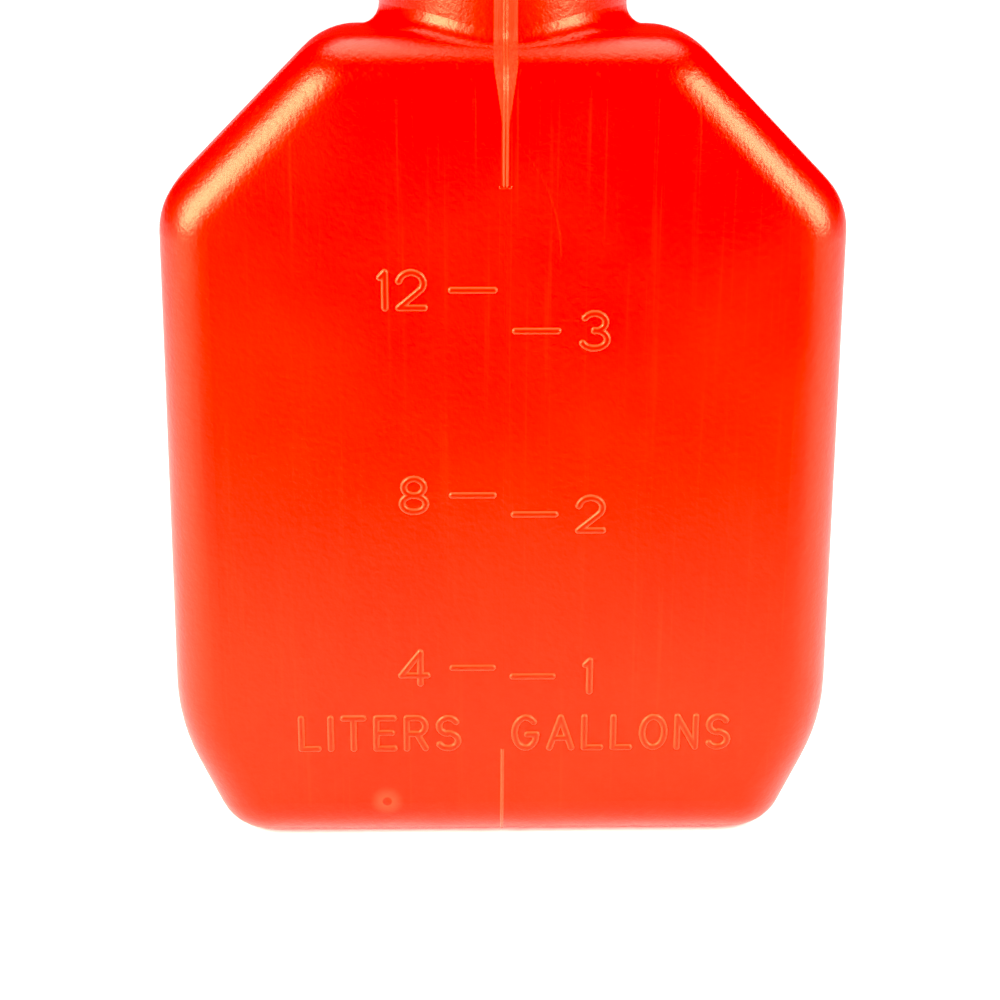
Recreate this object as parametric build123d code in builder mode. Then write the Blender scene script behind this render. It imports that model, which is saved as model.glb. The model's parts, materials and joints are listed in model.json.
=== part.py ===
"""Blow-moulded fuel can of about 15 litres with a self-closing spout.

Millimetres, +Z up. The origin is on the floor, in the middle of the tank's foot. -Y is the front,
the narrow end below the filler tower, and +Y is the rear, where the handle comes down.
"""

import os
from math import cos, radians, sin

from build123d import *

# ---- tank ----
TANK_LENGTH = 275.5
DECK_Z = 292.0
WALL = 2.5
FOOT_HALF_WIDTH = 98.4
FLANK_Z, FLANK_HALF_WIDTH = 44.6, 118.3
SHOULDER_Z, SHOULDER_HALF_WIDTH = 236.8, 115.7
DECK_HALF_WIDTH = 60.7
# radii of the end outline's lower corners by height, and of both upper ones
CORNER_RADII = {0.0: 20.0, FLANK_Z: 75.0}
TOP_RADIUS = 25.0
END_RADIUS = 18.0
# behind this line the top falls away to the rear, over a gentle bend
FALL_START_Y = -119.0
FALL_ANGLE = 9.0
FALL_BEND_RADIUS = 60.0

# hand valley between the two blocks of the tank
VALLEY_FLOOR_Z = 176.0
VALLEY_FLOOR_Y = (-2.0, 56.0)
VALLEY_MOUTH_Y = (-20.0, 76.0)
VALLEY_FLOOR_RADIUS = 26.0
VALLEY_RIM_RADIUS = 10.0

# filler tower and neck
TOWER_Y = -85.0
TOWER_RADIUS = 42.2
TOWER_TOP_Z = 340.0
TOWER_FOOT_RADIUS = 7.0
TOWER_TOP_RADIUS = 6.0
NECK_RADIUS = 31.0
NECK_BORE_RADIUS = 26.0
NECK_TOP_Z = 362.0

# handle bar, a hollow loop from the tower to the rear block
BAR_WIDTH, BAR_DEPTH, BAR_CORNER = 36.0, 30.0, 12.0
BAR_Z = 321.0
BAR_TOP_Z = BAR_Z + BAR_DEPTH / 2
BAR_LEG_Y = 105.0
BAR_BEND_RADIUS = 32.0
BAR_FOOT_Z = 240.0

# panels pressed up into the foot, one each side of the middle strip
FOOT_PANEL_SIZE = (74.0, 196.0)
FOOT_PANEL_X = 46.0
FOOT_PANEL_DEPTH = 3.0

# vent on the handle: boss with a snap bead, and the hinge of its cap
VENT_Y = 54.0
VENT_BOSS_RADIUS, VENT_BORE_RADIUS, VENT_BEAD_RADIUS = 10.0, 5.3, 10.6
VENT_TOP_Z = BAR_TOP_Z + 7.0
STRAP_RING = (10.2, 13.5)
STRAP_THICK = 2.8
HINGE_Y, HINGE_Z = VENT_Y + 17.0, BAR_TOP_Z + 2.4
TRUNNION_RADIUS, TRUNNION_GAP = 1.0, 0.06
LUG_X = (4.3, 6.5)
LUG_RADIUS, KNUCKLE_RADIUS, ARM_HALF_WIDTH = 2.4, 2.2, 4.0
CAP_RADIUS, CAP_BORE, CAP_THICK, CAP_FOOT_Z = 12.5, 10.9, 2.0, BAR_TOP_Z + 4.5
CAP_SEAL = (5.4, 9.4)
CAP_SEAL_THICK = 1.0

# thread between neck and collar
THREAD_PITCH = 6.0
THREAD_DEPTH = 2.4
THREAD_ROOT_HALF, THREAD_CREST_HALF = 1.6, 0.7
THREAD_BITE = 0.6
THREAD_START_Z = 347.0
THREAD_TURNS = 1.5
COLLAR_BORE_RADIUS = 34.0

# arrester, gasket and spout flange, stacked on the neck's rim
FLANGE_RADIUS = 30.0
ARRESTER_LIP, GASKET_THICK, FLANGE_THICK = 1.2, 2.0, 3.0
GASKET_Z = NECK_TOP_Z + ARRESTER_LIP
FLANGE_Z = GASKET_Z + GASKET_THICK
FLANGE_TOP_Z = FLANGE_Z + FLANGE_THICK
GASKET_BORE = 24.5
ARRESTER_RADIUS, ARRESTER_WALL, ARRESTER_SKIRT_Z = 25.6, 1.2, 345.0
MESH_WALL, MESH_FLOOR_Z, MESH_TOP_Z = 0.6, 306.0, 350.0

# screw collar
COLLAR_RADIUS, COLLAR_FOOT_Z, COLLAR_LID_THICK = 39.0, 343.0, 3.2
COLLAR_EYE_RADIUS = 24.0
GRIP_RIBS, GRIP_RIB_RADIUS = 36, 1.3

# spout: hub and dome on the neck's axis, then an elbow tilted to the front
HUB_RADIUS, HUB_TOP_Z = 23.94, 372.4
DOME_RADIUS, DOME_TOP_Z = 22.5, 388.0
ELBOW_RADIUS, ELBOW_BORE, ELBOW_BEND, SPOUT_TILT = 13.2, 10.8, 34.0, 35.0
STOP_U, STOP_RADIUS = (1.5, 6.0), 17.0
BASE_END_U = 16.0
TUBE_END_U, TUBE_RADIUS, TUBE_BORE = 108.0, 8.3, 6.6

# sliding sleeve, spring and poppet; U is measured along the tilted nozzle
SLEEVE_TRAVEL = 18.0
SKIRT_U, SHOULDER_U, TIP_U = BASE_END_U - 8.0 + SLEEVE_TRAVEL, 58.0, 124.0
SKIRT_RADIUS, SKIRT_BORE = 17.0, 14.2
TIP_RADIUS, TIP_BORE, GUIDE_BORE = 10.5, 8.7, 8.36
GUIDE_END_U = SHOULDER_U + 8.0
SEAL_U, SEAL_WIRE, SEAL_RADIUS = 62.0, 0.75, 9.11
HOOK_U, HOOK_REACH, HOOK_HALF_WIDTH = (78.0, 84.0), 19.5, 5.0
WASHER_THICK, WASHER_RING = 1.2, (8.9, 13.8)
SPRING_RADIUS, SPRING_WIRE, SPRING_TURNS = 11.3, 0.7, 7
STEM_RADIUS, STEM_START_U = 2.0, 22.0
PLUG_RADIUS, PLUG_START_U = 7.9, 118.8
POPPET_RADIUS, POPPET_THICK = 9.8, 5.0
POPPET_SEAL_U, POPPET_SEAL_WIRE, POPPET_SEAL_RADIUS = 121.4, 0.85, 7.8
VANE_U, VANE_THICK = (24.0, 29.0), 1.2
VENT_TUBE_RADIUS, VENT_TUBE_BORE, VENT_TUBE_X, VENT_TUBE_END_Z = 1.7, 1.1, 4.4, 330.0
SADDLE_U = (34.0, 40.0)

NECK_AXIS = Plane.XY.shift_origin((0, TOWER_Y, 0))
ELBOW_END = Vector(
    0,
    TOWER_Y - ELBOW_BEND * (1 - cos(radians(SPOUT_TILT))),
    DOME_TOP_Z + ELBOW_BEND * sin(radians(SPOUT_TILT)),
)
NOZZLE = Plane(
    origin=ELBOW_END,
    x_dir=(1, 0, 0),
    z_dir=(0, -sin(radians(SPOUT_TILT)), cos(radians(SPOUT_TILT))),
)

os.makedirs("parts", exist_ok=True)


def write(node, name):
    """Label a finished piece and write its STEP file."""
    node.part.label = name
    export_step(node.part, f"parts/{name}.step")


def at_height(sketch, height):
    """The corners of an upright sketch that lie at one height."""
    return [v for v in sketch.vertices() if abs(v.Y - height) < 0.01]


def turned(profile, plane, mode=Mode.ADD):
    """Revolve a closed profile of (radius, height) points about a plane's Z axis."""
    upright = Plane(origin=plane.origin, x_dir=plane.x_dir, z_dir=-plane.y_dir)
    with BuildSketch(upright) as outline:
        with BuildLine():
            Polyline(*profile, close=True)
        make_face()
    revolve(outline.sketch, axis=Axis(plane.origin, plane.z_dir), mode=mode)


def ring(inner, outer, start, end):
    """Profile of a plain ring, for turned()."""
    return [(inner, start), (outer, start), (outer, end), (inner, end)]


def o_ring(plane, height, radius, wire):
    """A torus about a plane's Z axis."""
    section = Plane(
        origin=plane.from_local_coords(Vector(radius, 0, height)), x_dir=plane.x_dir, z_dir=-plane.y_dir
    )
    with BuildSketch(section) as round_wire:
        Circle(wire)
    revolve(round_wire.sketch, axis=Axis(plane.origin, plane.z_dir))


# ---- tank ----
def tank_form(inset):
    """The closed outer form of the tank, drawn in by inset: 0 is the outside, WALL the cavity."""
    half_outline = [
        (FOOT_HALF_WIDTH, 0.0),
        (FLANK_HALF_WIDTH, FLANK_Z),
        (SHOULDER_HALF_WIDTH, SHOULDER_Z),
        (DECK_HALF_WIDTH, DECK_Z),
    ]
    outline = half_outline + [(-x, z) for x, z in reversed(half_outline)]
    end_y = TANK_LENGTH / 2 - inset
    open_z = DECK_Z + 40.0
    with BuildPart() as form:
        # end outline, run the length of the tank
        with BuildSketch(Plane.XZ) as section:
            with BuildLine():
                Polyline(*outline, close=True)
            make_face()
            for height, radius in CORNER_RADII.items():
                fillet(at_height(section, height), radius)
            if inset:
                offset(amount=-inset, kind=Kind.INTERSECTION)
        extrude(amount=end_y, both=True)
        # top that falls towards the rear: keep what lies under a roof swept along the fall
        eaves_x = SHOULDER_HALF_WIDTH + 30.0
        chamfer_slope = (DECK_Z - SHOULDER_Z) / (SHOULDER_HALF_WIDTH - DECK_HALF_WIDTH)
        eaves_z = DECK_Z - chamfer_slope * (eaves_x - DECK_HALF_WIDTH)
        roof = [(eaves_x, -TANK_LENGTH), (eaves_x, eaves_z), (DECK_HALF_WIDTH, DECK_Z)]
        with BuildLine(Plane.YZ) as fall:
            level = Line((-end_y - 5, 0), (FALL_START_Y, 0))
            bend = JernArc(level @ 1, level % 1, FALL_BEND_RADIUS, -FALL_ANGLE)
            Line(bend @ 1, bend @ 1 + (bend % 1) * 1.2 * TANK_LENGTH)
        with BuildSketch(Plane(origin=fall.line @ 0, x_dir=(-1, 0, 0), z_dir=fall.line % 0)):
            with BuildLine():
                Polyline(*roof, *[(-x, z) for x, z in reversed(roof)], close=True)
            make_face()
            if inset:
                offset(amount=-inset, kind=Kind.INTERSECTION)
        sweep(path=fall.line, mode=Mode.INTERSECT)
        ridges = [e for e in form.edges() if abs((e % 0.5).Y) > 0.9 and (e @ 0.5).Z > 150]
        fillet(ridges, TOP_RADIUS - inset)
        # hand valley across the full width
        with BuildSketch(Plane.YZ) as valley:
            with BuildLine():
                Polyline(
                    (VALLEY_MOUTH_Y[0], open_z),
                    (VALLEY_MOUTH_Y[0], DECK_Z),
                    (VALLEY_FLOOR_Y[0], VALLEY_FLOOR_Z),
                    (VALLEY_FLOOR_Y[1], VALLEY_FLOOR_Z),
                    (VALLEY_MOUTH_Y[1], DECK_Z),
                    (VALLEY_MOUTH_Y[1], open_z),
                    close=True,
                )
            make_face()
            fillet(at_height(valley, VALLEY_FLOOR_Z), VALLEY_FLOOR_RADIUS)
            if inset:
                offset(amount=inset, kind=Kind.INTERSECTION)
        extrude(amount=SHOULDER_HALF_WIDTH * 1.2, both=True, mode=Mode.SUBTRACT)
        # rounded ends
        ends = [f for f in form.faces().filter_by(Axis.Y) if abs(abs(f.center().Y) - end_y) < 0.01]
        fillet([e for f in ends for e in f.edges()], END_RADIUS - inset)
        # rounded valley rim: every edge over the valley that doesn't run along the tank
        rim = [
            e
            for e in form.edges()
            if VALLEY_MOUTH_Y[0] - 4 < (e @ 0.5).Y < VALLEY_MOUTH_Y[1] + 4 and abs((e % 0.5).Y) < 0.9
        ]
        rim = [e for e in rim if (e @ 0.5).Z > VALLEY_FLOOR_Z - WALL - 1]
        fillet(rim, VALLEY_RIM_RADIUS - inset)
        # filler tower
        with BuildSketch(Plane.XY.offset(DECK_Z - 40)):
            with Locations((0, TOWER_Y)):
                Circle(TOWER_RADIUS - inset)
        extrude(amount=TOWER_TOP_Z - inset - DECK_Z + 40)
        fillet(
            form.edges().filter_by(GeomType.CIRCLE).filter_by_position(
                Axis.Z, TOWER_TOP_Z - inset - 0.01, TOWER_TOP_Z - inset + 0.01
            ),
            TOWER_TOP_RADIUS - inset,
        )
        tower_foot = [
            e
            for e in form.edges()
            if abs(((e @ 0.5) - Vector(0, TOWER_Y, (e @ 0.5).Z)).length - TOWER_RADIUS + inset) < 0.05
            and DECK_Z - 12 < (e @ 0.5).Z < DECK_Z + 1
            and abs((e % 0.5).Z) < 0.9
        ]
        fillet(tower_foot, TOWER_FOOT_RADIUS + inset)
        # handle bar
        with BuildLine(Plane.YZ) as run:
            FilletPolyline(
                (TOWER_Y + 15.0, BAR_Z),
                (BAR_LEG_Y, BAR_Z),
                (BAR_LEG_Y, BAR_FOOT_Z),
                radius=BAR_BEND_RADIUS,
            )
        with BuildSketch(Plane(origin=run.line @ 0, x_dir=(1, 0, 0), z_dir=run.line % 0)):
            RectangleRounded(BAR_WIDTH - 2 * inset, BAR_DEPTH - 2 * inset, BAR_CORNER - inset)
        sweep(path=run.line)
        # panels pressed up into the foot
        with BuildSketch(Plane.XY.offset(inset)):
            with Locations((-FOOT_PANEL_X, 0), (FOOT_PANEL_X, 0)):
                RectangleRounded(FOOT_PANEL_SIZE[0] + 2 * inset, FOOT_PANEL_SIZE[1] + 2 * inset, 12 + inset)
        extrude(amount=FOOT_PANEL_DEPTH, taper=40, mode=Mode.SUBTRACT)
    return form.part


def thread_ridge(root_radius, outward, start_z):
    """A helical ridge about the neck's axis that bites into a wall at root_radius."""
    sign = 1 if outward else -1
    rise = THREAD_PITCH * THREAD_TURNS
    with BuildPart() as ridge:
        with BuildLine() as path:
            Helix(pitch=THREAD_PITCH, height=rise, radius=root_radius, center=(0, TOWER_Y, start_z))
        start = path.line @ 0
        with BuildSketch(Plane(origin=start, x_dir=(1, 0, 0), z_dir=path.line % 0)):
            with BuildLine():
                Polyline(
                    (-sign * THREAD_BITE, THREAD_ROOT_HALF),
                    (0, THREAD_ROOT_HALF),
                    (sign * THREAD_DEPTH, THREAD_CREST_HALF),
                    (sign * THREAD_DEPTH, -THREAD_CREST_HALF),
                    (0, -THREAD_ROOT_HALF),
                    (-sign * THREAD_BITE, -THREAD_ROOT_HALF),
                    close=True,
                )
            make_face()
        sweep(path=path.line, is_frenet=True)
    return ridge.part


outer_form = tank_form(0.0)
cavity_form = tank_form(WALL)

with BuildPart() as tank:
    add(outer_form)
    turned(ring(0, NECK_RADIUS, TOWER_TOP_Z - 1, NECK_TOP_Z), NECK_AXIS)
    add(thread_ridge(NECK_RADIUS, True, THREAD_START_Z))
    # vent boss, with the bead that keeps the strap on
    vent_axis = Plane.XY.shift_origin((0, VENT_Y, 0))
    turned(ring(0, VENT_BOSS_RADIUS, BAR_TOP_Z - 8, VENT_TOP_Z), vent_axis)
    bead_z = BAR_TOP_Z + STRAP_THICK + 0.2
    turned(
        [(9, bead_z), (VENT_BEAD_RADIUS, bead_z), (VENT_BEAD_RADIUS, bead_z + 0.3), (9, bead_z + 1.2)],
        vent_axis,
    )
    add(cavity_form, mode=Mode.SUBTRACT)
    turned(ring(0, NECK_BORE_RADIUS, TOWER_TOP_Z - 20, NECK_TOP_Z + 1), NECK_AXIS, Mode.SUBTRACT)
    turned(ring(0, VENT_BORE_RADIUS, BAR_TOP_Z - 10, VENT_TOP_Z + 1), vent_axis, Mode.SUBTRACT)
write(tank, "tank")


# ---- vent on the handle ----
with BuildPart() as vent_strap:
    turned(ring(*STRAP_RING, BAR_TOP_Z, BAR_TOP_Z + STRAP_THICK), vent_axis)
    for side in (-1, 1):
        with BuildSketch(Plane.YZ.offset(side * LUG_X[0])) as lug:
            with BuildLine():
                Polyline(
                    (VENT_Y + 10.2, BAR_TOP_Z),
                    (VENT_Y + 10.2, BAR_TOP_Z + STRAP_THICK),
                    (HINGE_Y - LUG_RADIUS, BAR_TOP_Z + STRAP_THICK),
                    (HINGE_Y - LUG_RADIUS, HINGE_Z),
                    (HINGE_Y + LUG_RADIUS, HINGE_Z),
                    (HINGE_Y + LUG_RADIUS, BAR_TOP_Z),
                    close=True,
                )
            make_face()
            with Locations((HINGE_Y, HINGE_Z)):
                Circle(LUG_RADIUS)
                Circle(TRUNNION_RADIUS + TRUNNION_GAP, mode=Mode.SUBTRACT)
        extrude(amount=side * (LUG_X[1] - LUG_X[0]))
write(vent_strap, "vent_strap")

with BuildPart() as vent_cap:
    disc_z = VENT_TOP_Z + CAP_SEAL_THICK
    top_z = disc_z + CAP_THICK
    turned(
        [
            (0, VENT_TOP_Z - 3),
            (3.9, VENT_TOP_Z - 3),
            (4.9, VENT_TOP_Z),
            (4.9, disc_z),
            (CAP_BORE, disc_z),
            (CAP_BORE, CAP_FOOT_Z),
            (CAP_RADIUS, CAP_FOOT_Z),
            (CAP_RADIUS, top_z - 0.8),
            (CAP_RADIUS - 0.8, top_z),
            (0, top_z),
        ],
        vent_axis,
    )
    # arm back to the hinge
    with BuildSketch(Plane.YZ) as arm:
        with BuildLine():
            Polyline(
                (HINGE_Y - 5.4, CAP_FOOT_Z + 0.4),
                (HINGE_Y - 5.4, top_z - 0.4),
                (HINGE_Y - 4.4, top_z - 0.4),
                (HINGE_Y + 1.9, HINGE_Z + 1.1),
                (HINGE_Y, HINGE_Z),
                (HINGE_Y - KNUCKLE_RADIUS, HINGE_Z),
                close=True,
            )
        make_face()
        with Locations((HINGE_Y, HINGE_Z)):
            Circle(KNUCKLE_RADIUS)
    extrude(amount=ARM_HALF_WIDTH, both=True)
    with BuildSketch(Plane.YZ) as trunnions:
        with Locations((HINGE_Y, HINGE_Z)):
            Circle(TRUNNION_RADIUS)
    extrude(amount=LUG_X[1] - 0.4, both=True)
write(vent_cap, "vent_cap")

with BuildPart() as vent_cap_seal:
    turned(ring(*CAP_SEAL, VENT_TOP_Z, VENT_TOP_Z + CAP_SEAL_THICK), vent_axis)
write(vent_cap_seal, "vent_cap_seal")


# ---- flame arrester in the neck ----
with BuildPart() as arrester_frame:
    bore = ARRESTER_RADIUS - ARRESTER_WALL
    turned(
        [
            (bore, ARRESTER_SKIRT_Z),
            (ARRESTER_RADIUS, ARRESTER_SKIRT_Z),
            (ARRESTER_RADIUS, NECK_TOP_Z),
            (FLANGE_RADIUS, NECK_TOP_Z),
            (FLANGE_RADIUS, GASKET_Z),
            (bore, GASKET_Z),
        ],
        NECK_AXIS,
    )
write(arrester_frame, "arrester_frame")

with BuildPart() as arrester_mesh:
    outer = ARRESTER_RADIUS - ARRESTER_WALL
    inner = outer - MESH_WALL
    turned(
        [
            (0, MESH_FLOOR_Z),
            (outer, MESH_FLOOR_Z),
            (outer, MESH_TOP_Z),
            (inner, MESH_TOP_Z),
            (inner, MESH_FLOOR_Z + MESH_WALL),
            (0, MESH_FLOOR_Z + MESH_WALL),
        ],
        NECK_AXIS,
    )
write(arrester_mesh, "arrester_mesh")

with BuildPart() as flange_gasket:
    turned(ring(GASKET_BORE, FLANGE_RADIUS, GASKET_Z, FLANGE_Z), NECK_AXIS)
write(flange_gasket, "flange_gasket")


# ---- screw collar ----
with BuildPart() as screw_collar:
    collar_top_z = FLANGE_TOP_Z + COLLAR_LID_THICK
    turned(
        [
            (COLLAR_BORE_RADIUS, COLLAR_FOOT_Z),
            (COLLAR_RADIUS, COLLAR_FOOT_Z),
            (COLLAR_RADIUS, collar_top_z - 2),
            (COLLAR_RADIUS - 2, collar_top_z),
            (COLLAR_EYE_RADIUS, collar_top_z),
            (COLLAR_EYE_RADIUS, FLANGE_TOP_Z),
            (COLLAR_BORE_RADIUS, FLANGE_TOP_Z),
        ],
        NECK_AXIS,
    )
    with BuildSketch(NECK_AXIS.offset(COLLAR_FOOT_Z + 1)):
        with PolarLocations(COLLAR_RADIUS, GRIP_RIBS):
            Circle(GRIP_RIB_RADIUS)
    extrude(amount=collar_top_z - COLLAR_FOOT_Z - 4)
    # half a pitch above the neck's ridge, so each runs in the other's groove
    add(thread_ridge(COLLAR_BORE_RADIUS, False, THREAD_START_Z + THREAD_PITCH / 2))
write(screw_collar, "screw_collar")


# ---- spout ----
def elbow(radius, offset_x, mode=Mode.ADD):
    """Sweep a round section through the elbow, offset_x off its centre line."""
    start = Vector(offset_x, TOWER_Y, DOME_TOP_Z)
    with BuildSketch(Plane(origin=start, x_dir=(1, 0, 0), z_dir=(0, 0, 1))) as section:
        Circle(radius)
    turn_axis = Axis((0, TOWER_Y - ELBOW_BEND, DOME_TOP_Z), (1, 0, 0))
    revolve(section.sketch, axis=turn_axis, revolution_arc=SPOUT_TILT, mode=mode)


with BuildPart() as spout_body:
    turned(
        [
            (0, FLANGE_Z),
            (FLANGE_RADIUS, FLANGE_Z),
            (FLANGE_RADIUS, FLANGE_TOP_Z),
            (HUB_RADIUS, FLANGE_TOP_Z),
            (HUB_RADIUS, HUB_TOP_Z),
            (DOME_RADIUS, HUB_TOP_Z + 1.4),
            (ELBOW_RADIUS, DOME_TOP_Z),
            (0, DOME_TOP_Z),
        ],
        NECK_AXIS,
    )
    elbow(ELBOW_RADIUS, 0)
    turned(
        [
            (0, 0),
            (ELBOW_RADIUS, 0),
            (ELBOW_RADIUS, STOP_U[0]),
            (STOP_RADIUS, STOP_U[0]),
            (STOP_RADIUS, STOP_U[1]),
            (ELBOW_RADIUS, STOP_U[1]),
            (ELBOW_RADIUS, BASE_END_U),
            (TUBE_RADIUS, BASE_END_U),
            (TUBE_RADIUS, TUBE_END_U),
            (0, TUBE_END_U),
        ],
        NOZZLE,
    )
    # passage right through
    turned(
        [
            (0, FLANGE_Z - 1),
            (DOME_RADIUS - 2.4, FLANGE_Z - 1),
            (DOME_RADIUS - 2.4, HUB_TOP_Z),
            (ELBOW_BORE, DOME_TOP_Z),
            (0, DOME_TOP_Z),
        ],
        NECK_AXIS,
        Mode.SUBTRACT,
    )
    elbow(ELBOW_BORE, 0, Mode.SUBTRACT)
    turned(
        [
            (0, 0),
            (ELBOW_BORE, 0),
            (ELBOW_BORE, BASE_END_U - 6.5),
            (TUBE_BORE, BASE_END_U - 2.4),
            (TUBE_BORE, TUBE_END_U + 1),
            (0, TUBE_END_U + 1),
        ],
        NOZZLE,
        Mode.SUBTRACT,
    )
    # saddle that holds the vent tube
    with BuildSketch(NOZZLE.offset(SADDLE_U[0])) as saddle:
        with Locations((VENT_TUBE_X + 1.4, 0)):
            Rectangle(2.2, 3.0)
        with Locations((VENT_TUBE_X, 0)):
            Circle(VENT_TUBE_RADIUS, mode=Mode.SUBTRACT)
    extrude(amount=SADDLE_U[1] - SADDLE_U[0])
write(spout_body, "spout_body")

with BuildPart() as vent_tube:
    for radius, mode in ((VENT_TUBE_RADIUS, Mode.ADD), (VENT_TUBE_BORE, Mode.SUBTRACT)):
        elbow(radius, VENT_TUBE_X, mode)
        with BuildSketch(NECK_AXIS.offset(VENT_TUBE_END_Z)):
            with Locations((VENT_TUBE_X, 0)):
                Circle(radius)
        extrude(amount=DOME_TOP_Z - VENT_TUBE_END_Z, mode=mode)
        with BuildSketch(NOZZLE):
            with Locations((VENT_TUBE_X, 0)):
                Circle(radius)
        extrude(amount=TUBE_END_U - 2, mode=mode)
write(vent_tube, "vent_tube")

with BuildPart() as poppet_stem:
    turned(
        [
            (0, STEM_START_U),
            (STEM_RADIUS, STEM_START_U),
            (STEM_RADIUS, PLUG_START_U - 5),
            (PLUG_RADIUS, PLUG_START_U),
            (PLUG_RADIUS, POPPET_SEAL_U - 1),
            (POPPET_SEAL_RADIUS - POPPET_SEAL_WIRE, POPPET_SEAL_U - 1),
            (POPPET_SEAL_RADIUS - POPPET_SEAL_WIRE, POPPET_SEAL_U + 1),
            (PLUG_RADIUS, POPPET_SEAL_U + 1),
            (PLUG_RADIUS, TIP_U),
            (POPPET_RADIUS, TIP_U),
            (POPPET_RADIUS, TIP_U + POPPET_THICK - 2),
            (POPPET_RADIUS - 4, TIP_U + POPPET_THICK),
            (0, TIP_U + POPPET_THICK),
        ],
        NOZZLE,
    )
    # vanes that hold the stem in the tube's bore
    with BuildSketch(NOZZLE.offset(VANE_U[0])) as vanes:
        Rectangle(VANE_THICK, 2 * TUBE_BORE)
        with Locations((-TUBE_BORE / 2, 0)):
            Rectangle(TUBE_BORE, VANE_THICK)
        Circle(TUBE_BORE, mode=Mode.INTERSECT)
    extrude(amount=VANE_U[1] - VANE_U[0])
write(poppet_stem, "poppet_stem")

with BuildPart() as poppet_o_ring:
    o_ring(NOZZLE, POPPET_SEAL_U, POPPET_SEAL_RADIUS, POPPET_SEAL_WIRE)
write(poppet_o_ring, "poppet_o_ring")


# ---- sliding sleeve and its spring ----
with BuildPart() as slide_sleeve:
    seal_root = SEAL_RADIUS + SEAL_WIRE
    turned(
        [
            (SKIRT_BORE, SKIRT_U),
            (SKIRT_RADIUS, SKIRT_U),
            (SKIRT_RADIUS, SHOULDER_U),
            (TIP_RADIUS, SHOULDER_U + 12),
            (TIP_RADIUS, TIP_U),
            (TIP_BORE, TIP_U),
            (TIP_BORE, GUIDE_END_U),
            (GUIDE_BORE, GUIDE_END_U),
            (GUIDE_BORE, SEAL_U + 1),
            (seal_root, SEAL_U + 1),
            (seal_root, SEAL_U - 1),
            (GUIDE_BORE, SEAL_U - 1),
            (GUIDE_BORE, SHOULDER_U),
            (SKIRT_BORE, SHOULDER_U),
        ],
        NOZZLE,
    )
    # hook on the underside that catches the rim of the filler being filled
    with BuildSketch(Plane(origin=NOZZLE.origin, x_dir=-NOZZLE.y_dir, z_dir=-NOZZLE.x_dir)) as hook:
        with BuildLine():
            Polyline(
                (TIP_RADIUS - 1, HOOK_U[0] - 6),
                (HOOK_REACH, HOOK_U[0]),
                (HOOK_REACH, HOOK_U[1]),
                (HOOK_REACH - 3, HOOK_U[1]),
                (TIP_RADIUS - 1, HOOK_U[1] - 3),
                close=True,
            )
        make_face()
    extrude(amount=HOOK_HALF_WIDTH, both=True)
write(slide_sleeve, "slide_sleeve")

with BuildPart() as sleeve_seal:
    o_ring(NOZZLE, SEAL_U, SEAL_RADIUS, SEAL_WIRE)
write(sleeve_seal, "sleeve_seal")

with BuildPart() as spring_washer:
    turned(ring(*WASHER_RING, SHOULDER_U - WASHER_THICK, SHOULDER_U), NOZZLE)
write(spring_washer, "spring_washer")

with BuildPart() as return_spring:
    spring_height = SHOULDER_U - WASHER_THICK - BASE_END_U - 2 * SPRING_WIRE
    with BuildLine() as coil:
        Helix(
            pitch=spring_height / SPRING_TURNS,
            height=spring_height,
            radius=SPRING_RADIUS,
            center=NOZZLE.from_local_coords(Vector(0, 0, BASE_END_U + SPRING_WIRE)),
            direction=NOZZLE.z_dir,
        )
    with BuildSketch(Plane(origin=coil.line @ 0, z_dir=coil.line % 0)):
        Circle(SPRING_WIRE)
    sweep(path=coil.line, is_frenet=True)
write(return_spring, "return_spring")
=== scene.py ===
"""Looks for the fuel can: materials, moulded marks, parting seam, and the finer pieces above the tank.

Metres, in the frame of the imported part. MM turns millimetres into metres.
"""

import json
from math import cos, pi, radians, sin

import bmesh
import bpy
import numpy as np
from mathutils import Matrix, Vector
from mathutils.bvhtree import BVHTree


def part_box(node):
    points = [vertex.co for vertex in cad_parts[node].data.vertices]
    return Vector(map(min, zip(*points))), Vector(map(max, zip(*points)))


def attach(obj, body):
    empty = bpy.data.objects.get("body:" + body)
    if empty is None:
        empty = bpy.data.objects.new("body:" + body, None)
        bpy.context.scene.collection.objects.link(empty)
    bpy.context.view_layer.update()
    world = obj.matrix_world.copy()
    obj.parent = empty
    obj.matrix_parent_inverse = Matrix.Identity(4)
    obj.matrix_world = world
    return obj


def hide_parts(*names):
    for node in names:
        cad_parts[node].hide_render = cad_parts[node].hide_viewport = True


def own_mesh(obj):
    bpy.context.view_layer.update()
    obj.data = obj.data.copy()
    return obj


MM = 0.001

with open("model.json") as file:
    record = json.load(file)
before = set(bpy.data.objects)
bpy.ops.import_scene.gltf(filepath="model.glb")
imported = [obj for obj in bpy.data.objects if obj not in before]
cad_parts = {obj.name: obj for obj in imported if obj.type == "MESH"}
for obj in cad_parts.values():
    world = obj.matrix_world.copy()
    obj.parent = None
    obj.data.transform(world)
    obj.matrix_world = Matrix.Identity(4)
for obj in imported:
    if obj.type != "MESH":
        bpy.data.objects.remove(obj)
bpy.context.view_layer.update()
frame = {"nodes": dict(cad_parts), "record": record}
nodes = frame["nodes"]

FRONT_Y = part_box("tank")[0][1]
collar_low, collar_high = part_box("screw_collar")
TOWER_Y = (collar_low[1] + collar_high[1]) / 2

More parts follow.
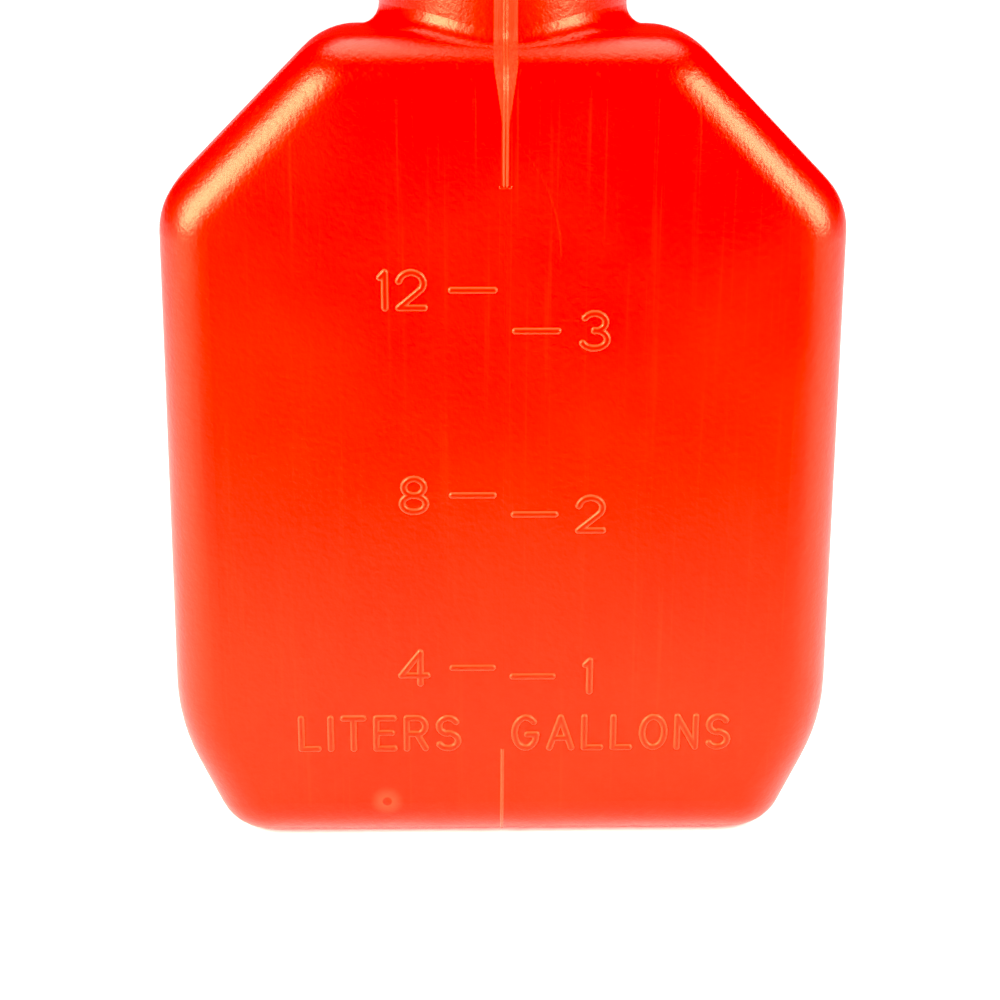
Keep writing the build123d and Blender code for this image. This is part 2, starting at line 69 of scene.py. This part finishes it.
# ---- volume scale, moulded on the front: heights above the floor in millimetres ----
STROKE = 2.3
STROKE_RISE = 0.85
LETTER_HEIGHT = 14.4
LETTER_SPACING = 2.3
DASH_LENGTH = 16.2
DASH_INSET = 1.0
LITRE_MARKS = {"12": 210.5, "8": 137.7, "4": 72.2}
GALLON_MARKS = {"3": 196.4, "2": 130.6, "1": 68.7}
DASH_GAP = 2.6
NUMERAL_GAP = 6.9
GALLON_MIDDLE = 30.2
WORD_Z = 39.1
WORDS = [("word_litres", "LITERS", -73.4, 58.6), ("word_gallons", "GALLONS", 3.2, 79.2)]
GRID = 0.18

# ---- seam down the middle of the front, in millimetres ----
SEAM_FOOT_Z, SEAM_HEAD_Z = 245.0, 338.0
SCAR_WIDTH = 8.0
SCAR_FOOT_Z = 258.0
WELD_HEAD_Z = 40.0

# small faults on the front: x, z, radius in millimetres, and how much the skin around is scuffed
BLEMISHES = [(-41.8, 18.5, 1.8, 0.30), (78.5, 263.0, 1.1, 0.03)]


# ---- materials ----
class Nodes:
    """A material's node tree, with short calls for adding and joining nodes."""

    def __init__(self, name):
        self.material = bpy.data.materials.new(name)
        self.material.use_nodes = True
        self.tree = self.material.node_tree
        self.shader = self.tree.nodes["Principled BSDF"]
        self.place = self.add("ShaderNodeTexCoord").outputs["Object"]

    def add(self, kind, inputs=None, **settings):
        node = self.tree.nodes.new(kind)
        for key, value in settings.items():
            setattr(node, key, value)
        for key, value in (inputs or {}).items():
            if isinstance(value, bpy.types.NodeSocket):
                self.tree.links.new(value, node.inputs[key])
            else:
                node.inputs[key].default_value = value
        return node

    def stretched(self, scale):
        """Object coordinates scaled along each axis."""
        return self.add("ShaderNodeMapping", {"Vector": self.place, "Scale": scale}).outputs["Vector"]

    def noise(self, scale, detail=2.0, rough=0.5, place=None):
        inputs = {"Vector": place or self.place, "Scale": scale, "Detail": detail, "Roughness": rough}
        return self.add("ShaderNodeTexNoise", inputs).outputs["Fac"]

    def ramp(self, value, low, high, to_low=0.0, to_high=1.0):
        inputs = {"Value": value, "From Min": low, "From Max": high, "To Min": to_low, "To Max": to_high}
        return self.add("ShaderNodeMapRange", inputs).outputs["Result"]

    def maths(self, operation, a, b=0.0):
        return self.add("ShaderNodeMath", {0: a, 1: b}, operation=operation).outputs["Value"]

    def mix(self, factor, a, b):
        node = self.add("ShaderNodeMix", data_type="RGBA")
        for index, value in ((0, factor), (6, a), (7, b)):
            if isinstance(value, bpy.types.NodeSocket):
                self.tree.links.new(value, node.inputs[index])
            else:
                node.inputs[index].default_value = value
        return node.outputs[2]

    def bump(self, height, distance, strength=1.0, under=None):
        inputs = {"Height": height, "Distance": distance, "Strength": strength}
        if under:
            inputs["Normal"] = under
        return self.add("ShaderNodeBump", inputs).outputs["Normal"]

    def set(self, **inputs):
        for key, value in inputs.items():
            socket = self.shader.inputs[key.replace("_", " ")]
            if isinstance(value, bpy.types.NodeSocket):
                self.tree.links.new(value, socket)
            else:
                socket.default_value = value
        return self.material


def blow_moulded_red(name, flank_highlight=0.0):
    """Dyed polyethylene off a blasted mould: fine grain, drawn streaks, specks and light scuffs.

    The second argument sets how much paler the flanks of raised marks are painted: a painted highlight for
    their bright outlines.
    """
    n = Nodes(name)
    streaks = n.noise(1.0, 3.0, 0.6, n.stretched((700.0, 700.0, 9.0)))
    clouds = n.noise(14.0, 3.0)
    specks = n.ramp(n.noise(900.0, 1.0), 0.74, 0.80)
    deep = (0.82, 0.0012, 0.0006, 1)
    warm = (0.88, 0.0035, 0.0010, 1)
    colour = n.mix(n.ramp(clouds, 0.35, 0.65), deep, warm)
    colour = n.mix(n.ramp(streaks, 0.58, 0.72, 0.0, 0.45), colour, (0.92, 0.012, 0.004, 1))
    colour = n.mix(n.maths("MULTIPLY", specks, 0.35), colour, (0.45, 0.0, 0.0, 1))
    for x, z, radius, strength in BLEMISHES:
        spot = {0: n.place, 1: (x * MM, FRONT_Y, z * MM)}
        away = n.add("ShaderNodeVectorMath", spot, operation="DISTANCE").outputs["Value"]
        halo = n.ramp(away, radius * 3.5 * MM, radius * MM, 0.0, strength)
        ring = n.ramp(away, radius * 1.1 * MM, radius * 0.8 * MM)
        colour = n.mix(halo, colour, (0.95, 0.10, 0.05, 1))
        colour = n.mix(n.maths("MULTIPLY", ring, 0.9), colour, (0.38, 0.001, 0.001, 1))
    # painted highlight: the flanks of raised marks and seams are coloured pale orange, so they show bright
    # outlines whatever the light
    if flank_highlight:
        flank = n.add("ShaderNodeAttribute", attribute_name="flank").outputs["Fac"]
        colour = n.mix(n.maths("MULTIPLY", flank, flank_highlight), colour, (1.0, 0.16, 0.06, 1))
    grain = n.bump(n.noise(1300.0, 2.0), 0.00012, 0.6)
    peel = n.bump(n.noise(480.0, 1.0), 0.00025, 0.45, grain)
    drawn = n.bump(streaks, 0.00004, 0.4, peel)
    return n.set(
        Base_Color=colour,
        Roughness=n.ramp(clouds, 0.3, 0.7, 0.28, 0.34),
        Normal=drawn,
        Subsurface_Weight=0.03,
        Subsurface_Radius=(0.006, 0.0003, 0.0002),
        Subsurface_Scale=0.5,
        Specular_Tint=(1.0, 0.66, 0.34, 1),
        Specular_IOR_Level=0.5,
    )


def trimmed_red(name, dark, pale, roughness):
    """Where flash was cut off: paler, rougher, with knife marks running down it."""
    n = Nodes(name)
    cuts = n.noise(1.0, 3.0, 0.7, n.stretched((1800.0, 1800.0, 40.0)))
    return n.set(
        Base_Color=n.mix(n.ramp(cuts, 0.35, 0.65), dark, pale),
        Roughness=roughness,
        Normal=n.bump(cuts, 0.0002, 0.6),
        Specular_Tint=(1.0, 0.72, 0.45, 1),
    )


def moulded(name, colour, roughness, grain=900.0, depth=0.00005):
    """Injection-moulded plastic with a fine spark-eroded grain and faint handling marks."""
    n = Nodes(name)
    clouds = n.noise(40.0, 4.0)
    lighter = tuple(min(1.0, c * 1.18 + 0.004) for c in colour) + (1,)
    return n.set(
        Base_Color=n.mix(n.ramp(clouds, 0.35, 0.7), tuple(colour) + (1,), lighter),
        Roughness=n.ramp(clouds, 0.3, 0.7, roughness - 0.05, roughness + 0.07),
        Normal=n.bump(n.noise(grain, 2.0), depth, 0.6),
    )


def steel():
    """Drawn stainless steel."""
    n = Nodes("steel")
    drawn = n.noise(1.0, 3.0, 0.6, n.stretched((900.0, 900.0, 90.0)))
    return n.set(
        Base_Color=(0.58, 0.58, 0.57, 1),
        Metallic=1.0,
        Roughness=n.ramp(drawn, 0.3, 0.7, 0.22, 0.38),
        Normal=n.bump(drawn, 0.00002, 0.4),
    )


MATERIALS = {
    "hdpe_red": blow_moulded_red("hdpe_red"),
    # the same red with a painted highlight on the flanks of raised marks and seams
    "hdpe_marks": blow_moulded_red("hdpe_marks", 0.30),
    "hdpe_trimmed": trimmed_red("hdpe_trimmed", (0.40, 0.008, 0.002, 1), (0.52, 0.022, 0.006, 1), 0.5),
    "plastic_black": moulded("plastic_black", (0.018, 0.018, 0.02), 0.42),
    "plastic_yellow": moulded("plastic_yellow", (0.50, 0.24, 0.004), 0.36),
    "plastic_natural": moulded("plastic_natural", (0.55, 0.52, 0.46), 0.4),
    "rubber_black": moulded("rubber_black", (0.02, 0.02, 0.02), 0.62, 500.0, 0.00008),
    "steel": steel(),
}

for part in frame["record"]["subparts"]:
    mesh = nodes[part["node"]].data
    mesh.materials.clear()
    mesh.materials.append(MATERIALS[part["material_slot"]])


# ---- relief laid over the tank's surface ----
tank_surface = BVHTree.FromObject(nodes["tank"], bpy.context.evaluated_depsgraph_get())


def finished(name, mesh, material):
    """A smooth-shaded object from a bmesh, in one material."""
    data = bpy.data.meshes.new(name)
    mesh.to_mesh(data)
    mesh.free()
    for face in data.polygons:
        face.use_smooth = True
    data.materials.append(MATERIALS[material])
    piece = bpy.data.objects.new(name, data)
    bpy.context.scene.collection.objects.link(piece)
    return piece


def relief(name, xs, ups, rise, material="hdpe_red", facing="front"):
    """A patch over the tank's surface; rise(x, up) gives its height in millimetres, below 0 where absent.

    up is a height on the front and back, and runs along Y on the top.
    """
    mesh = bmesh.new()
    height = rise(*np.meshgrid(xs, ups))
    slope = np.hypot(*np.gradient(np.maximum(height, 0), ups[1] - ups[0], xs[1] - xs[0]))
    # the slope is kept as "flank"; hdpe_marks paints its highlight there
    flank = mesh.verts.layers.float.new("flank")
    placed = {}
    casts = {
        "front": (lambda x, up: (x * MM, FRONT_Y - 0.05, up * MM), (0, 1, 0)),
        "back": (lambda x, up: (x * MM, 0.05 - FRONT_Y, up * MM), (0, -1, 0)),
        "top": (lambda x, along: (x * MM, along * MM, 0.5), (0, 0, -1)),
    }
    start, way = casts[facing]

    def vertex(i, j):
        if (i, j) not in placed:
            point, normal, _, _ = tank_surface.ray_cast(Vector(start(xs[i], ups[j])), Vector(way))
            placed[i, j] = mesh.verts.new(point + normal * max(height[j, i], -0.04) * MM)
            placed[i, j][flank] = min(slope[j, i], 1.0)
        return placed[i, j]

    for j in range(len(ups) - 1):
        for i in range(len(xs) - 1):
            if height[j : j + 2, i : i + 2].max() > -0.03:
                corners = ((i, j), (i + 1, j), (i + 1, j + 1), (i, j + 1))
                face = mesh.faces.new([vertex(*c) for c in corners])
                face.normal_update()
                if face.normal.dot(Vector(way)) > 0:
                    face.normal_flip()
    piece = finished(name, mesh, material)
    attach(piece, "tank")


def arc(cx, cz, rx, rz, start, end, count=14):
    """Points on an ellipse, angles in degrees anticlockwise from +X."""
    angles = [radians(start + (end - start) * k / count) for k in range(count + 1)]
    return [(cx + rx * cos(a), cz + rz * sin(a)) for a in angles]


# Each character is a list of strokes in a box of height 1; its second item is the width.
GLYPHS = {
    "1": ([[(0.0, 0.86), (0.13, 1.0), (0.13, 0.0)]], 0.13),
    "2": ([arc(0.34, 0.70, 0.34, 0.30, 170, -35) + [(0.0, 0.0), (0.70, 0.0)]], 0.70),
    "3": ([arc(0.33, 0.75, 0.31, 0.25, 150, -90), arc(0.33, 0.26, 0.36, 0.26, 90, -155)], 0.68),
    "4": ([[(0.56, 0.0), (0.56, 1.0), (0.0, 0.26), (0.76, 0.26)]], 0.76),
    "8": ([arc(0.34, 0.75, 0.29, 0.25, 0, 360, 24), arc(0.34, 0.25, 0.34, 0.25, 0, 360, 24)], 0.68),
    "L": ([[(0.0, 1.0), (0.0, 0.0), (0.58, 0.0)]], 0.58),
    "I": ([[(0.0, 1.0), (0.0, 0.0)]], 0.0),
    "T": ([[(0.0, 1.0), (0.70, 1.0)], [(0.35, 1.0), (0.35, 0.0)]], 0.70),
    "E": ([[(0.62, 1.0), (0.0, 1.0), (0.0, 0.0), (0.62, 0.0)], [(0.0, 0.52), (0.54, 0.52)]], 0.62),
    "R": (
        [
            [(0.0, 0.0), (0.0, 1.0), (0.38, 1.0)] + arc(0.38, 0.74, 0.27, 0.26, 90, -90) + [(0.0, 0.48)],
            [(0.36, 0.48), (0.66, 0.0)],
        ],
        0.66,
    ),
    "S": ([arc(0.34, 0.74, 0.32, 0.26, 30, 270) + arc(0.34, 0.25, 0.35, 0.25, 90, -150)], 0.69),
    "G": ([arc(0.40, 0.50, 0.40, 0.50, 45, 330, 24) + [(0.78, 0.44), (0.46, 0.44)]], 0.80),
    "A": ([[(0.0, 0.0), (0.39, 1.0), (0.78, 0.0)], [(0.13, 0.32), (0.65, 0.32)]], 0.78),
    "O": ([arc(0.40, 0.50, 0.40, 0.50, 0, 360, 30)], 0.80),
    "N": ([[(0.0, 0.0), (0.0, 1.0), (0.66, 0.0), (0.66, 1.0)]], 0.66),
}


def stroke_distance(x, z, strokes):
    """Distance from each point to the nearest stroke."""
    best = np.full(x.shape, 1e9)
    for points in strokes:
        for (ax, az), (bx, bz) in zip(points, points[1:]):
            dx, dz = bx - ax, bz - az
            if dx == dz == 0:
                continue
            along = np.clip(((x - ax) * dx + (z - az) * dz) / (dx * dx + dz * dz), 0, 1)
            best = np.minimum(best, np.hypot(x - ax - along * dx, z - az - along * dz))
    return best


def bead(distance, width, rise):
    """Height of a raised bead with a flattened crown and rounded flanks."""
    side = np.clip(distance / (width / 2), 0, 1.2)
    return rise * np.where(side < 1, np.sqrt(np.clip(1 - side**3, 0, 1)), 0) - 0.05 * (side >= 1)


def raised_strokes(name, strokes):
    """A piece with one bead along every stroke."""
    points = np.array([p for stroke in strokes for p in stroke])
    low, high = points.min(axis=0) - STROKE * 0.75, points.max(axis=0) + STROKE * 0.75
    xs = np.arange(low[0], high[0], GRID)
    zs = np.arange(low[1], high[1], GRID)

    def rise(x, z):
        return bead(stroke_distance(x, z, strokes), STROKE, STROKE_RISE)

    relief(name, xs, zs, rise, "hdpe_marks")


def placed_glyph(letter, x, z, size, squeeze=1.0):
    strokes, width = GLYPHS[letter]
    span = size - STROKE
    left = x + STROKE / 2
    moved = [[(left + px * span * squeeze, z + STROKE / 2 + pz * span) for px, pz in s] for s in strokes]
    return moved, width * span * squeeze + STROKE


def write_text(name, text, x, z, width=None):
    """Moulded text from x rightwards, squeezed to a total width if one is given."""
    squeeze = 1.0
    if width:
        natural = sum(placed_glyph(c, 0, 0, LETTER_HEIGHT)[1] for c in text)
        fixed = STROKE * len(text) + LETTER_SPACING * (len(text) - 1)
        squeeze = (width - fixed) / (natural - STROKE * len(text))
    for index, letter in enumerate(text):
        strokes, advance = placed_glyph(letter, x, z, LETTER_HEIGHT, squeeze)
        raised_strokes(f"{name}_{index}_{letter}", strokes)
        x += advance + LETTER_SPACING


def text_width(text):
    return sum(placed_glyph(c, 0, 0, LETTER_HEIGHT)[1] for c in text) + LETTER_SPACING * (len(text) - 1)


for text, z in LITRE_MARKS.items():
    inner = -DASH_GAP
    raised_strokes(f"dash_litres_{text}", [[(inner - DASH_LENGTH + DASH_INSET, z), (inner - DASH_INSET, z)]])
    start = inner - DASH_LENGTH - NUMERAL_GAP - text_width(text)
    write_text(f"litres_{text}", text, start, z - LETTER_HEIGHT / 2)
for text, z in GALLON_MARKS.items():
    inner = DASH_GAP
    raised_strokes(f"dash_gallons_{text}", [[(inner + DASH_INSET, z), (inner + DASH_LENGTH - DASH_INSET, z)]])
    write_text(f"gallons_{text}", text, GALLON_MIDDLE - text_width(text) / 2, z - LETTER_HEIGHT / 2)
for name, text, left, width in WORDS:
    write_text(name, text, left, WORD_Z, width)


# long shallow scratch right of the seam
scratch = arc(-62.0, 222.0, 80.5, 66.0, 0, 48, 10)
xs, zs = np.arange(-9.0, 19.6, 0.14), np.arange(221.0, 272.0, 0.3)
relief("scratch", xs, zs, lambda x, z: bead(stroke_distance(x, z, [scratch]), 0.30, 0.07))


def scar_rise(x, z):
    """Trimmed pinch-off scar that narrows to a point below."""
    half = SCAR_WIDTH / 2 * np.clip((z - SCAR_FOOT_Z) / 26.0, 0, 1)
    edge = np.clip((half - np.abs(x)) / 1.4, 0, 1)
    return np.where(edge > 0, 0.10 * edge + 0.02 * np.sin(z * 2.1) * edge, -0.05)


def seam_rise(x, z):
    """Double-ridged parting bead."""
    ridges = 0.28 * np.exp(-(((np.abs(x) - 0.52) / 0.20) ** 2))
    return np.where(np.abs(x) < 1.1, ridges + 0.08, -0.05)


relief(
    "pinch_scar",
    np.arange(-SCAR_WIDTH / 2 - 0.6, SCAR_WIDTH / 2 + 0.6, 0.25),
    np.arange(SCAR_FOOT_Z, SEAM_HEAD_Z, 0.5),
    scar_rise,
    "hdpe_trimmed",
)
relief(
    "parting_seam",
    np.arange(-1.2, 1.21, 0.1),
    np.arange(SEAM_FOOT_Z, SEAM_HEAD_Z, 0.5),
    seam_rise,
    "hdpe_marks",
)
relief(
    "seam_line",
    np.arange(-0.6, 0.61, 0.15),
    np.arange(WELD_HEAD_Z, SEAM_FOOT_Z, 1.0),
    lambda x, z: 0.06 * np.exp(-((x / 0.25) ** 2)) - 0.03,
)
relief(
    "bottom_weld",
    np.arange(-1.2, 1.21, 0.15),
    np.arange(3.0, WELD_HEAD_Z, 0.4),
    lambda x, z: 0.60 * np.exp(-((x / 0.40) ** 2)) - 0.03,
    "hdpe_marks",
)
relief(
    "seam_cross",
    np.arange(-2.6, 2.61, 0.2),
    np.arange(SEAM_FOOT_Z - 1.4, SEAM_FOOT_Z + 1.4, 0.2),
    lambda x, z: bead(stroke_distance(x, z, [[(-1.6, SEAM_FOOT_Z), (1.6, SEAM_FOOT_Z)]]), 1.0, 0.25),
)

# the same parting line over the handle and down the back
SEAM_RUNS = [("back", 8.0, 270.0), ("top", -42.0, 34.0), ("top", 74.0, 86.0)]
for facing, low, high in SEAM_RUNS:
    relief(
        f"seam_{facing}_{low:.0f}",
        np.arange(-0.9, 0.91, 0.15),
        np.arange(low, high, 1.0),
        lambda x, up: 0.25 * np.exp(-((x / 0.35) ** 2)) - 0.03,
        facing=facing,
    )


# ---- spring and arrester screen, finer than the frame's ----
# where the spring sits on the spout, in metres, and the way the nozzle points
NOZZLE_FOOT = Vector((0, -0.100326, 0.420607))
SPOUT_TILT = radians(35)
NOZZLE_WAY = Vector((0, -sin(SPOUT_TILT), cos(SPOUT_TILT)))
SPRING_LENGTH, SPRING_RADIUS, WIRE_RADIUS = 40.8, 11.3, 0.7
SPRING_COILS, CLOSED_COILS = 7.0, 1.0
SCREEN_RADIUS, SCREEN_FOOT_Z, SCREEN_HEAD_Z, SCREEN_PITCH = 24.1, 306.3, 350.0, 2.1
# the strip kept on each side of a hole, as a share of the pitch
STRIP_SHARE = 0.24
# inner edge of the solid rim round the cup's floor, as a share of the cup's radius
RIM_SHARE = 0.86


def coil_spring():
    """Compression spring with closed ends."""
    side = Vector((1, 0, 0))
    up = NOZZLE_WAY.cross(side)
    steps, ring = 40, 10
    turns = SPRING_COILS + 2 * CLOSED_COILS
    rising = SPRING_LENGTH - 2 * WIRE_RADIUS * (1 + 2 * CLOSED_COILS)
    mesh = bmesh.new()
    rings = []
    for k in range(int(steps * turns) + 1):
        turn = k / steps
        open_turns = min(max(turn - CLOSED_COILS, 0), SPRING_COILS)
        closed = turn - open_turns
        along = WIRE_RADIUS + closed * 2 * WIRE_RADIUS + open_turns / SPRING_COILS * rising
        angle = 2 * pi * turn
        out = side * cos(angle) + up * sin(angle)
        middle = NOZZLE_FOOT + NOZZLE_WAY * along * MM + out * SPRING_RADIUS * MM
        section = [(out * cos(2 * pi * q / ring) + NOZZLE_WAY * sin(2 * pi * q / ring)) for q in range(ring)]
        rings.append([mesh.verts.new(middle + way * WIRE_RADIUS * MM) for way in section])
    for one, two in zip(rings, rings[1:]):
        for q in range(ring):
            mesh.faces.new((one[q], one[(q + 1) % ring], two[(q + 1) % ring], two[q]))
    mesh.faces.new(rings[0])
    mesh.faces.new(rings[-1])
    bmesh.ops.recalc_face_normals(mesh, faces=mesh.faces)
    piece = finished("return_spring_wound", mesh, "steel")
    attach(piece, "spout")
    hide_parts("return_spring")
    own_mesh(piece)


def arrester_screen():
    """Cup of square-holed screen: each cell of its wall and floor has its middle cut out."""
    mesh = bmesh.new()
    around = int(2 * pi * SCREEN_RADIUS / SCREEN_PITCH)
    rows = int((SCREEN_HEAD_Z - SCREEN_FOOT_Z) / SCREEN_PITCH)
    wall = {}
    for j in range(rows + 1):
        for i in range(around):
            angle = 2 * pi * i / around
            z = SCREEN_FOOT_Z + (SCREEN_HEAD_Z - SCREEN_FOOT_Z) * j / rows
            x, y = SCREEN_RADIUS * cos(angle), SCREEN_RADIUS * sin(angle)
            wall[i, j] = mesh.verts.new((x * MM, TOWER_Y + y * MM, z * MM))
    for j in range(rows):
        for i in range(around):
            n = (i + 1) % around
            mesh.faces.new((wall[i, j], wall[n, j], wall[n, j + 1], wall[i, j + 1]))
    half = int(SCREEN_RADIUS / SCREEN_PITCH)
    floor = {}

    def floor_vertex(i, j):
        if (i, j) not in floor:
            spot = (i * SCREEN_PITCH * MM, TOWER_Y + j * SCREEN_PITCH * MM, SCREEN_FOOT_Z * MM)
            floor[i, j] = mesh.verts.new(spot)
        return floor[i, j]

    for i in range(-half, half):
        for j in range(-half, half):
            corners = ((i, j), (i + 1, j), (i + 1, j + 1), (i, j + 1))
            if max(np.hypot(*c) for c in corners) * SCREEN_PITCH < SCREEN_RADIUS - 0.4:
                mesh.faces.new([floor_vertex(*c) for c in corners])
    cells = mesh.faces[:]
    bmesh.ops.inset_individual(mesh, faces=cells, thickness=SCREEN_PITCH * STRIP_SHARE * MM)
    bmesh.ops.delete(mesh, geom=cells, context="FACES")
    rim = []
    for i in range(around):
        x, y, z = wall[i, 0].co
        rim.append(mesh.verts.new((x * RIM_SHARE, TOWER_Y + (y - TOWER_Y) * RIM_SHARE, z)))
    for i in range(around):
        n = (i + 1) % around
        mesh.faces.new((wall[i, 0], wall[n, 0], rim[n], rim[i]))
    bmesh.ops.recalc_face_normals(mesh, faces=mesh.faces)
    piece = finished("arrester_mesh_screen", mesh, "steel")
    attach(piece, "spout")
    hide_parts("arrester_mesh")


coil_spring()
arrester_screen()


# ---- studio ----
def area_light(name, place, target, size, power, colour=(1, 1, 1)):
    lamp = bpy.data.lights.new(name, "AREA")
    lamp.shape = "RECTANGLE"
    lamp.size, lamp.size_y = size
    lamp.energy = power
    lamp.color = colour
    holder = bpy.data.objects.new(name, lamp)
    holder.location = place
    holder.rotation_euler = (Vector(target) - Vector(place)).to_track_quat("-Z", "Y").to_euler()
    bpy.context.scene.collection.objects.link(holder)


def studio():
    """White floor under a broad top light, and a softbox on each side in front."""
    centre = (0, FRONT_Y, 0.16)
    area_light("key_left", (-0.95, FRONT_Y - 0.62, 0.62), centre, (0.7, 0.8), 56, (1, 0.93, 0.80))
    area_light("key_right", (0.98, FRONT_Y - 0.58, 0.62), centre, (0.6, 0.8), 41, (1, 0.94, 0.84))
    sky = bpy.data.lights.new("top_light", "SUN")
    sky.energy = 3.3
    sky.angle = radians(50)
    holder = bpy.data.objects.new("top_light", sky)
    holder.rotation_euler = (radians(-14), 0, 0)
    bpy.context.scene.collection.objects.link(holder)
    world = bpy.data.worlds.new("studio")
    world.use_nodes = True
    world.node_tree.nodes["Background"].inputs["Color"].default_value = (1, 0.97, 0.93, 1)
    world.node_tree.nodes["Background"].inputs["Strength"].default_value = 0.06
    bpy.context.scene.world = world
    view = bpy.context.scene.view_settings
    view.view_transform = "Standard"
    view.use_curve_mapping = True
    view.curve_mapping.black_level = (0.024, 0.024, 0.024)
    # the floor is white round the can and greyer well in front of it
    n = Nodes("pale_floor")
    across = n.add("ShaderNodeSeparateXYZ", {"Vector": n.place}).outputs["Y"]
    near = n.ramp(across, FRONT_Y - 0.42, FRONT_Y - 0.12)
    n.set(Base_Color=n.mix(near, (0.16, 0.16, 0.16, 1), (0.97, 0.97, 0.97, 1)), Roughness=0.7)
    bpy.ops.mesh.primitive_plane_add(size=12, location=(0, 0, 0))
    plane = bpy.context.object
    plane.name = "floor"
    plane.data.materials.append(n.material)


def camera():
    """Close in front of the can, looking down at the lower part of the front face."""
    distance, height, pitch, yaw, roll = 0.6718, 0.3911, 20.8, 1.5, 0.3
    pan = 0.11
    around = radians(yaw)
    lens = bpy.data.cameras.new("camera")
    lens.sensor_width = 24
    lens.lens = 50
    eye = bpy.data.objects.new("camera", lens)
    eye.location = (-distance * sin(around), FRONT_Y - distance * cos(around), height)
    turn = Matrix.Rotation(radians(pan) - around, 4, "Z") @ Matrix.Rotation(radians(90 - pitch), 4, "X")
    eye.rotation_euler = (turn @ Matrix.Rotation(radians(roll), 4, "Z")).to_euler()
    bpy.context.scene.collection.objects.link(eye)
    bpy.context.scene.camera = eye


studio()
camera()
